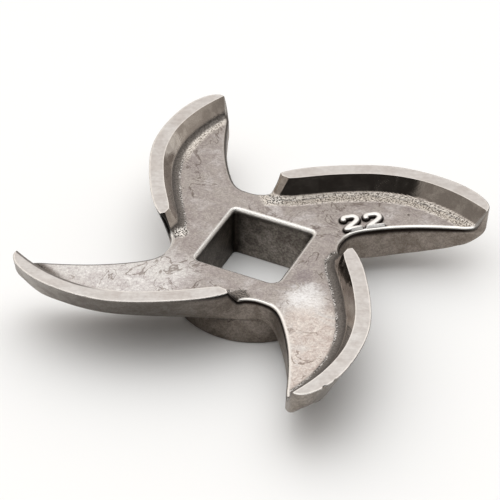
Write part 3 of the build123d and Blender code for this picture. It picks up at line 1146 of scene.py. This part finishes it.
def cast_top():
    m = Tree("cast_steel_top")
    wall_m, fil, glint_share = m.attr("wallm"), m.attr("film"), m.attr("glint_share")
    rimd = m.attr("rimd")
    sep = m.n("ShaderNodeSeparateXYZ", {0: m.mm})
    y = sep.outputs[1]
    # painted sheen: webs of the two near blades are painted brighter than the others, standing in for a lamp's
    # reflection
    near = m.step(m.math("ADD", y, m.math("MULTIPLY", m.noise(0.3, 3, 0.6), 4.0)), -3.5, -9.5)
    big = m.noise(0.15, 4, 0.6, distort=0.6)
    mid = m.noise(0.5, 4, 0.62, distort=1.4, offset=(11.0, 3.0, 0.0))
    curl = m.noise(1.3, 4, 0.65, distort=2.2, offset=(1.0, 17.0, 0.0))
    small = m.noise(3.0, 3, 0.6, offset=(5.0, 9.0, 0.0))
    tiny = m.noise(8.0, 2, 0.6)
    # the middle of the hub stays out of the painted sheen and keeps its darker colour
    hx = m.math("ABSOLUTE", m.math("SUBTRACT", sep.outputs[0], 2.5))
    near = m.math("MULTIPLY", near, m.step(hx, 5.0, 11.0))
    c = m.mix(m.step(mid, 0.36, 0.64), (0.246, 0.221, 0.213), (0.298, 0.274, 0.256))
    c = m.mix(m.step(big, 0.50, 0.64), c, (0.350, 0.330, 0.322))
    # the painted sheen is cooler and more neutral towards -X
    west = m.step(sep.outputs[0], 2.0, -6.0)
    bright = m.mix(m.step(mid, 0.36, 0.64), (0.400, 0.352, 0.325), (0.490, 0.452, 0.422))
    cool = m.mix(m.step(mid, 0.36, 0.64), (0.390, 0.370, 0.366), (0.525, 0.515, 0.508))
    bright = m.mix(west, bright, cool)
    bright = m.mix(m.step(big, 0.50, 0.66), bright, (0.48, 0.47, 0.46))
    c = m.mix(near, c, bright)
    c = m.mul(1.0, c, m.mix(m.step(curl, 0.34, 0.66), (0.86, 0.84, 0.835), (1.09, 1.095, 1.09)))
    c = m.mul(1.0, c, m.mix(m.step(small, 0.32, 0.68), (0.86, 0.85, 0.85), (1.11, 1.11, 1.10)))
    c = m.mul(1.0, c, m.mix(m.step(tiny, 0.32, 0.68), (0.88, 0.875, 0.87), (1.09, 1.09, 1.09)))
    # painted highlight: a bright patch at the root of the nearest blade stands in for a lamp's reflection; it is also
    # smoother
    dx = m.math("SUBTRACT", sep.outputs[0], 12.4)
    dy = m.math("SUBTRACT", y, -8.2)
    rr = m.math("SQRT", m.math("ADD", m.math("MULTIPLY", dx, dx), m.math("MULTIPLY", dy, dy)))
    rr = m.math("ADD", rr, m.math("MULTIPLY", m.math("SUBTRACT", mid, 0.5), 5.0))
    patch = m.step(rr, 4.3, 1.6)
    patch = m.math("MULTIPLY", patch, m.step(curl, 0.34, 0.62, 0.45, 1.0))
    c = m.mix(m.math("MULTIPLY", patch, 0.75), c, (0.57, 0.57, 0.57))
    # thin stain lines at the rims of dried patches
    ln = m.noise(0.15, 4, 0.60, distort=0.9, offset=(2.0, 7.0, 0.0))
    ln = m.math("ABSOLUTE", m.math("SUBTRACT", ln, 0.5))
    line = m.math("MULTIPLY", m.step(ln, 0.005, 0.016, 1.0, 0.0),
                  m.step(m.noise(0.13, 2, 0.5, offset=(20.0, 0.0, 0.0)), 0.44, 0.50))
    line = m.math("MULTIPLY", line, m.step(rimd, 0.2, 0.8))
    c = m.mul(m.math("MULTIPLY", line, 0.75), c, (0.38, 0.33, 0.30))
    # soft brown shade beside the foot of the step
    shade = m.math("MULTIPLY", m.step(rimd, 0.3, 2.4, 1.0, 0.0), m.step(big, 0.40, 0.56))
    c = m.mul(m.math("MULTIPLY", shade, 0.30), c, (0.62, 0.56, 0.52))
    # rough fillet: dark grey cast skin, partly painted shade in the crease at the foot of the step, with painted
    # bright glints where it faces the light
    g1 = m.noise(3.0, 2, 0.5, offset=(3.0, 1.0, 4.0))
    g2 = m.noise(7.5, 2, 0.6, offset=(7.0, 1.0, 2.0))
    g = m.math("ADD", m.math("MULTIPLY", g1, 0.6), m.math("MULTIPLY", g2, 0.4))
    rough_c = m.mix(m.step(g, 0.38, 0.62), (0.045, 0.040, 0.036), (0.090, 0.081, 0.074))
    g3 = m.noise(3.6, 2, 0.55, offset=(2.0, 5.0, 8.0))
    gs = m.math("ADD", m.math("MULTIPLY", g2, 0.35), m.math("MULTIPLY", g3, 0.65))
    glint_c = m.mix(m.step(gs, 0.43, 0.53), (0.10, 0.083, 0.070), (0.60, 0.555, 0.50))
    fc = m.mix(glint_share, rough_c, glint_c)
    c = m.mix(m.math("MULTIPLY", fil, 0.92), c, fc)
    # speckled seam right at the foot line: dark specks and painted bright glints
    seam = m.math("MULTIPLY", m.step(rimd, -0.28, -0.05), m.step(rimd, 0.05, 0.30, 1.0, 0.0))
    seam = m.math("MULTIPLY", seam, m.step(m.noise(0.35, 2, 0.5, offset=(0.0, 30.0, 0.0)), 0.36, 0.52))
    sp = m.mix(m.step(m.noise(5.0, 1, 0.5, offset=(9.0, 9.0, 9.0)), 0.47, 0.56),
               (0.03, 0.025, 0.022), (0.46, 0.44, 0.42))
    c = m.mix(m.math("MULTIPLY", seam, 0.85), c, sp)
    # polished step wall with a few dull marks
    wn_ = m.noise(0.45, 3, 0.6, distort=0.5, offset=(0.0, 0.0, 12.0))
    wc = m.mix(m.step(wn_, 0.40, 0.62), (0.35, 0.310, 0.275), (0.46, 0.415, 0.37))
    wc = m.mul(1.0, wc, m.mix(m.step(g2, 0.3, 0.7), (0.88, 0.87, 0.86), (1.08, 1.08, 1.08)))
    # painted shade: blade 2's step wall, which faces away, is painted nearly black
    shade_paint = m.attr("shade_paint")
    wc = m.mix(shade_paint, wc, m.mix(m.step(g, 0.42, 0.58), (0.03, 0.026, 0.023), (0.15, 0.133, 0.118)))
    c = m.mix(wall_m, c, wc)
    # painted shade: a dark wedge at the foot of blade 2's wall near its tip
    shade_wedge = m.math("MULTIPLY", m.math("MULTIPLY", shade_paint, m.step(rimd, 1.1, 0.3)),
                   m.step(sep.outputs[0], -21.0, -26.0))
    c = m.mul(m.math("MULTIPLY", shade_wedge, 0.85), c, (0.22, 0.19, 0.17))
    band = m.attr("band")
    c = m.mix(m.math("MULTIPLY", band, 0.8), c,
              m.mix(m.step(gs, 0.42, 0.54), (0.15, 0.13, 0.112), (0.64, 0.60, 0.55)))

    def blob(px, py, r0, r1, wob=0.0):
        ax = m.math("SUBTRACT", sep.outputs[0], px)
        ay = m.math("SUBTRACT", y, py)
        q = m.math("SQRT", m.math("ADD", m.math("MULTIPLY", ax, ax), m.math("MULTIPLY", ay, ay)))
        if wob:
            q = m.math("ADD", q, m.math("MULTIPLY", m.math("SUBTRACT", curl, 0.5), wob))
        return m.step(q, r0, r1)

    # rough dark end of one land, a rusty patch, a pit
    c = m.mix(m.math("MULTIPLY", blob(3.17, -11.97, 1.75, 1.15, 2.2), 0.9), c,
              m.mix(m.step(g3, 0.40, 0.58), (0.022, 0.019, 0.017), (0.15, 0.132, 0.115)))
    c = m.mul(m.math("MULTIPLY", blob(9.85, -3.60, 2.6, 0.6, 3.0), 0.5), c, (0.70, 0.66, 0.72))
    c = m.mul(m.math("MULTIPLY", blob(18.71, 17.55, 0.30, 0.14), 0.85), c, (0.2, 0.17, 0.15))
    # dark specks and painted bright glints along the fillet's root ends
    ring = m.math("MAXIMUM", blob(-11.66, -2.22, 1.5, 0.9), blob(-1.77, 11.17, 1.7, 0.9))
    ring = m.math("MULTIPLY", ring, m.math("MULTIPLY", m.step(rimd, -1.1, -0.7), m.step(rimd, 1.3, 0.7)))
    c = m.mix(m.math("MULTIPLY", ring, 0.85), c,
              m.mix(m.step(g3, 0.46, 0.54), (0.03, 0.025, 0.02), (0.66, 0.63, 0.59)))
    # painted highlight and shade on the rounded upper edges: bright where the edge faces -Y, dark where it faces away
    e = m.attr("edge")
    geo = m.n("ShaderNodeNewGeometry")
    lit_facing = m.n("ShaderNodeVectorMath", {0: geo.outputs["Normal"], 1: (-0.25, -0.97, 0.0)},
               operation="DOT_PRODUCT").outputs["Value"]
    edge_light_c = m.mix(m.step(lit_facing, -0.22, 0.12), (0.055, 0.048, 0.043), (0.62, 0.60, 0.57))
    c = m.mix(m.math("MULTIPLY", e, 0.9), c, edge_light_c)
    r = m.lerp(m.step(mid, 0.3, 0.7), 0.34, 0.46)
    r = m.lerp(patch, r, 0.28)
    r = m.lerp(fil, r, 0.36)
    r = m.lerp(wall_m, r, m.lerp(m.step(wn_, 0.5, 0.7), 0.10, 0.20))
    # figures: painted shade as a dark rim round the raised strokes, and painted highlight on their tops
    dg = m.attr("d_dig")
    rim = m.math("MULTIPLY", m.step(dg, 0.45, 0.54), m.step(dg, 0.62, 0.86, 1.0, 0.0))
    c = m.mul(rim, c, (0.03, 0.026, 0.024))
    c = m.mix(m.step(dg, 0.34, 0.48, 0.95, 0.0), c, (0.66, 0.645, 0.625))
    web_m = m.math("SUBTRACT", 1.0, m.math("MAXIMUM", wall_m, fil))
    h = m.math("ADD", m.math("MULTIPLY", small, 0.5), m.math("MULTIPLY", tiny, 0.35))
    h = m.math("ADD", h, m.math("MULTIPLY", curl, 0.8))
    nrm = m.bump(m.math("MULTIPLY", h, web_m), 0.030)
    hf = m.math("MULTIPLY", m.math("MULTIPLY", g, fil), m.lerp(glint_share, 0.35, 1.0))
    nrm = m.bump(hf, 0.22, 1.0, nrm)
    nrm = m.bump(m.math("MULTIPLY", wn_, wall_m), 0.03, 1.0, nrm)
    return m.out(c, r, nrm)


def cast_side():
    m = Tree("cast_steel_side")
    lead = m.attr("lead")
    mid = m.noise(0.40, 4, 0.62, distort=0.8, offset=(1.0, 2.0, 3.0))
    small = m.noise(2.6, 3, 0.6)
    tiny = m.noise(8.0, 2, 0.6)
    c = m.mix(m.step(mid, 0.35, 0.65), (0.205, 0.173, 0.147), (0.300, 0.262, 0.230))
    lc = m.mix(m.step(mid, 0.35, 0.65), (0.205, 0.178, 0.155), (0.300, 0.270, 0.240))
    c = m.mix(lead, c, lc)
    c = m.mul(1.0, c, m.mix(m.step(small, 0.3, 0.7), (0.80, 0.79, 0.78), (1.14, 1.14, 1.14)))
    tv = m.mix(m.step(tiny, 0.32, 0.6), (0.74, 0.73, 0.72), (1.08, 1.08, 1.08))
    c = m.mul(m.math("SUBTRACT", 1.0, m.math("MULTIPLY", lead, 0.6)), c, tv)
    # pits and stains of the cast skin
    pits = m.step(m.noise(1.1, 3, 0.7, offset=(40.0, 3.0, 1.0)), 0.28, 0.36, 0.75, 0.0)
    c = m.mul(m.math("MULTIPLY", pits, m.math("SUBTRACT", 1.0, lead)), c, (0.35, 0.32, 0.30))
    # painted highlight and shade on the rounded upper edges: bright where the edge faces -Y, dark where it faces away
    e = m.attr("edge")
    geo = m.n("ShaderNodeNewGeometry")
    lit_facing = m.n("ShaderNodeVectorMath", {0: geo.outputs["Normal"], 1: (-0.25, -0.97, 0.0)},
               operation="DOT_PRODUCT").outputs["Value"]
    edge_light_c = m.mix(m.step(lit_facing, -0.22, 0.12), (0.055, 0.048, 0.043), (0.68, 0.66, 0.63))
    c = m.mix(m.math("MULTIPLY", e, 0.95), c, edge_light_c)
    # painted shade: the shaded root end of blade 1 is painted nearly black
    c = m.mul(m.attr("shade_paint"), c, (0.10, 0.09, 0.085))
    # downward faces painted darker, to deepen the shadow on the floor beneath by bouncing less light
    nz = m.n("ShaderNodeSeparateXYZ", {0: geo.outputs["Normal"]}).outputs[2]
    c = m.mul(m.step(nz, -0.72, -0.90), c, (0.42, 0.40, 0.38))
    # painted shade: dark line just beneath the rounded cast edge
    s = m.attr("side")
    shade_line = m.math("MULTIPLY", m.step(s, 0.10, 0.15), m.step(s, 0.20, 0.31, 1.0, 0.0))
    c = m.mul(m.math("MULTIPLY", shade_line, m.math("SUBTRACT", 1.0, lead)), c, (0.05, 0.04, 0.035))
    h = m.math("ADD", m.math("MULTIPLY", small, 0.8), m.math("MULTIPLY", tiny, 0.4))
    h = m.math("MULTIPLY", h, m.math("SUBTRACT", 1.0, m.math("MAXIMUM", e, m.math("MULTIPLY", lead, 0.6))))
    nrm = m.bump(h, 0.060)
    r = m.lerp(lead, 0.48, 0.36)
    return m.out(c, m.lerp(e, r, 0.22), nrm)


def hole_wall():
    m = Tree("cast_steel_hole")
    mid = m.noise(0.5, 4, 0.62)
    small = m.noise(3.4, 3, 0.65)
    c = m.mix(m.step(mid, 0.35, 0.65), (0.18, 0.158, 0.138), (0.31, 0.280, 0.250))
    c = m.mul(1.0, c, m.mix(m.step(small, 0.34, 0.66), (0.62, 0.61, 0.60), (1.25, 1.25, 1.25)))
    e = m.attr("edge")
    # painted highlight on the hole's rounded top edge
    c = m.mix(m.math("MULTIPLY", e, 0.95), c, (0.66, 0.645, 0.62))
    z = m.n("ShaderNodeSeparateXYZ", {0: m.mm}).outputs[2]
    top = m.step(z, 7.5, 8.5)
    c = m.mul(m.math("MULTIPLY", m.math("MULTIPLY", top, m.math("SUBTRACT", 1.0, e)), 0.9), c,
              (0.22, 0.19, 0.17))
    # painted shade in the upright corners of the hole
    c = m.mul(m.attr("corner_shade"), c, (0.16, 0.145, 0.135))
    # painted shade: hole wall faces turned towards +X are darker
    geo = m.n("ShaderNodeNewGeometry")
    nx = m.n("ShaderNodeSeparateXYZ", {0: geo.outputs["Normal"]}).outputs[0]
    c = m.mul(m.math("MULTIPLY", m.step(nx, 0.3, 0.8), m.math("SUBTRACT", 1.0, e)), c, (0.50, 0.49, 0.48))
    nrm = m.bump(small, 0.07)
    return m.out(c, m.lerp(e, 0.5, 0.26), nrm)


def back_face():
    m = Tree("ground_steel_back")
    st = m.vec("MULTIPLY", m.mm, (0.12, 1.0, 1.0))
    fine = m.noise(6.0, 3, 0.6, st)
    base = m.mix(m.step(fine, 0.3, 0.7), (0.40, 0.37, 0.34), (0.50, 0.465, 0.43))
    return m.out(base, 0.34, m.bump(fine, 0.006))


for mat in (ground_land(), cast_top(), cast_side(), hole_wall(), back_face()):
    mesh.materials.append(mat)
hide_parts("grinder_knife")
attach(knife, "root")

# ---------------------------------------------------------------------------
# stage, light, camera
# ---------------------------------------------------------------------------
fm = bpy.data.meshes.new("floor")
s = 1.5
fm.from_pydata([(-s, -s, 0), (s, -s, 0), (s, s, 0), (-s, s, 0)], [], [(0, 1, 2, 3)])
floor = bpy.data.objects.new("floor", fm)
bpy.context.scene.collection.objects.link(floor)
fmat = bpy.data.materials.new("pale_floor")
fmat.use_nodes = True
fb = fmat.node_tree.nodes["Principled BSDF"]
fb.inputs["Base Color"].default_value = (0.88, 0.88, 0.875, 1)
fb.inputs["Roughness"].default_value = 0.9
fb.inputs["Specular IOR Level"].default_value = 0.0
fm.materials.append(fmat)

# a wide soft overhead light, a pale back wall, a dark room in front
world = bpy.data.worlds.new("studio")
bpy.context.scene.world = world
world.use_nodes = True
wt = world.node_tree


def wn(kind, ins=None, **props):
    node = wt.nodes.new(kind)
    for k, v in props.items():
        setattr(node, k, v)
    for k, v in (ins or {}).items():
        s = node.inputs[k]
        if isinstance(v, bpy.types.NodeSocket):
            wt.links.new(v, s)
        else:
            s.default_value = v
    return node


def wm(op, a, b=0.0):
    return wn("ShaderNodeMath", {0: a, 1: b}, operation=op).outputs[0]


def ramp(x, stops):
    """Piecewise smooth value over x, built from map ranges added up."""
    total = None
    prev = stops[0][1]
    for (a, va), (b, vb) in zip(stops[:-1], stops[1:]):
        r = wn("ShaderNodeMapRange", {"Value": x, "From Min": a, "From Max": b,
                                      "To Min": 0.0, "To Max": vb - va},
               interpolation_type="SMOOTHSTEP").outputs["Result"]
        total = r if total is None else wm("ADD", total, r)
    return wm("ADD", total, prev)


tc = wn("ShaderNodeTexCoord")
sep = wn("ShaderNodeSeparateXYZ", {0: tc.outputs["Generated"]})
X, Y, Z = sep.outputs
hor = wm("MAXIMUM", wm("SQRT", wm("ADD", wm("MULTIPLY", X, X), wm("MULTIPLY", Y, Y))), 1e-4)


def toward(az):
    a = math.radians(az)
    return wm("DIVIDE", wm("ADD", wm("MULTIPLY", X, math.cos(a)), wm("MULTIPLY", Y, math.sin(a))), hor)


def mixw(f, a, b):
    m = wt.nodes.new("ShaderNodeMix")
    m.data_type = "FLOAT"
    for key, v in ((0, f), (2, a), (3, b)):
        if isinstance(v, bpy.types.NodeSocket):
            wt.links.new(v, m.inputs[key])
        else:
            m.inputs[key].default_value = v
    return m.outputs[0]


def curve(x, stops):
    """Value over x, straight between stops, built from map ranges added up."""
    total = stops[0][1]
    for (x0, v0), (x1, v1) in zip(stops[:-1], stops[1:]):
        if abs(v1 - v0) < 1e-6:
            continue
        r = wn("ShaderNodeMapRange", {"Value": x, "From Min": x0, "From Max": x1,
                                      "To Min": 0.0, "To Max": v1 - v0},
               interpolation_type="LINEAR").outputs["Result"]
        total = wm("ADD", r, total)
    return total


# brightness round the horizon as two harmonics, each varying with height (sine squared)
ALBEDO = 0.88
KNOTS = (0.05, 0.15, 0.35, 0.55, 0.75, 0.95, 1.0)
A0 = (0.54, 0.55, 0.79, 0.97, 1.35, 1.88, 2.00)
A1 = (-0.14, -0.39, -0.60, -0.58, -0.36, -0.12, 0.0)
B1 = (0.32, 0.43, 0.44, 0.53, 0.43, 0.25, 0.0)
A2 = (0.02, 0.11, -0.08, -0.21, -0.08, -0.06, 0.0)
U2 = wm("MULTIPLY", Z, Z)
cx, cy = wm("DIVIDE", X, hor), wm("DIVIDE", Y, hor)
c2 = wm("SUBTRACT", wm("MULTIPLY", cx, cx), wm("MULTIPLY", cy, cy))
val = curve(U2, list(zip(KNOTS, A0)))
val = wm("ADD", val, wm("MULTIPLY", cx, curve(U2, list(zip(KNOTS, A1)))))
val = wm("ADD", val, wm("MULTIPLY", cy, curve(U2, list(zip(KNOTS, B1)))))
val = wm("ADD", val, wm("MULTIPLY", c2, curve(U2, list(zip(KNOTS, A2)))))
val = wm("MAXIMUM", val, 0.0)
# the dark room low in front, and a grey wall low on the left of it
low = ramp(Z, [(0.44, 1.0), (0.60, 0.0)])
dark = wm("MULTIPLY", ramp(toward(-49), [(0.59, 0.0), (0.67, 1.0)]), low)
grey = wm("MULTIPLY", ramp(toward(-138), [(0.76, 0.0), (0.84, 1.0)]), low)
val = mixw(grey, val, 0.40)
val = mixw(dark, val, 0.042)
val = wm("DIVIDE", val, ALBEDO)
bgn = wt.nodes["Background"]
wt.links.new(val, bgn.inputs["Strength"])
warm = wt.nodes.new("ShaderNodeMix")
warm.data_type = "RGBA"
wt.links.new(ramp(Z, [(0.55, 0.0), (0.85, 1.0)]), warm.inputs[0])
warm.inputs[6].default_value = (1.0, 0.955, 0.915, 1)
warm.inputs[7].default_value = (1.0, 1.0, 0.997, 1)
wt.links.new(warm.outputs[2], bgn.inputs["Color"])

bpy.context.scene.view_settings.view_transform = "Standard"
bpy.context.scene.view_settings.look = "None"

AZ, EL, ROLL = -0.44024991, 0.68347984, 0.00855646
DIST, TX, TY, F_PX = 22.4632074, -0.05188840, 0.43660496, 1978.92346
fw = Vector((math.sin(AZ) * math.cos(EL), math.cos(AZ) * math.cos(EL), -math.sin(EL)))
r0 = Vector((math.cos(AZ), -math.sin(AZ), 0))
u0 = r0.cross(fw)
right = r0 * math.cos(ROLL) + u0 * math.sin(ROLL)
up = u0 * math.cos(ROLL) - r0 * math.sin(ROLL)
eye = (fw * -DIST + right * TX + up * TY) * (U * 0.001)
cam_d = bpy.data.cameras.new("camera")
cam_d.sensor_width = 36.0
cam_d.lens = F_PX / 500.0 * 36.0
cam_d.clip_start = 0.01
cam = bpy.data.objects.new("camera", cam_d)
M = Matrix((right, up, -fw)).transposed().to_4x4()
M.translation = eye
cam.matrix_world = M
bpy.context.scene.collection.objects.link(cam)
bpy.context.scene.camera = cam
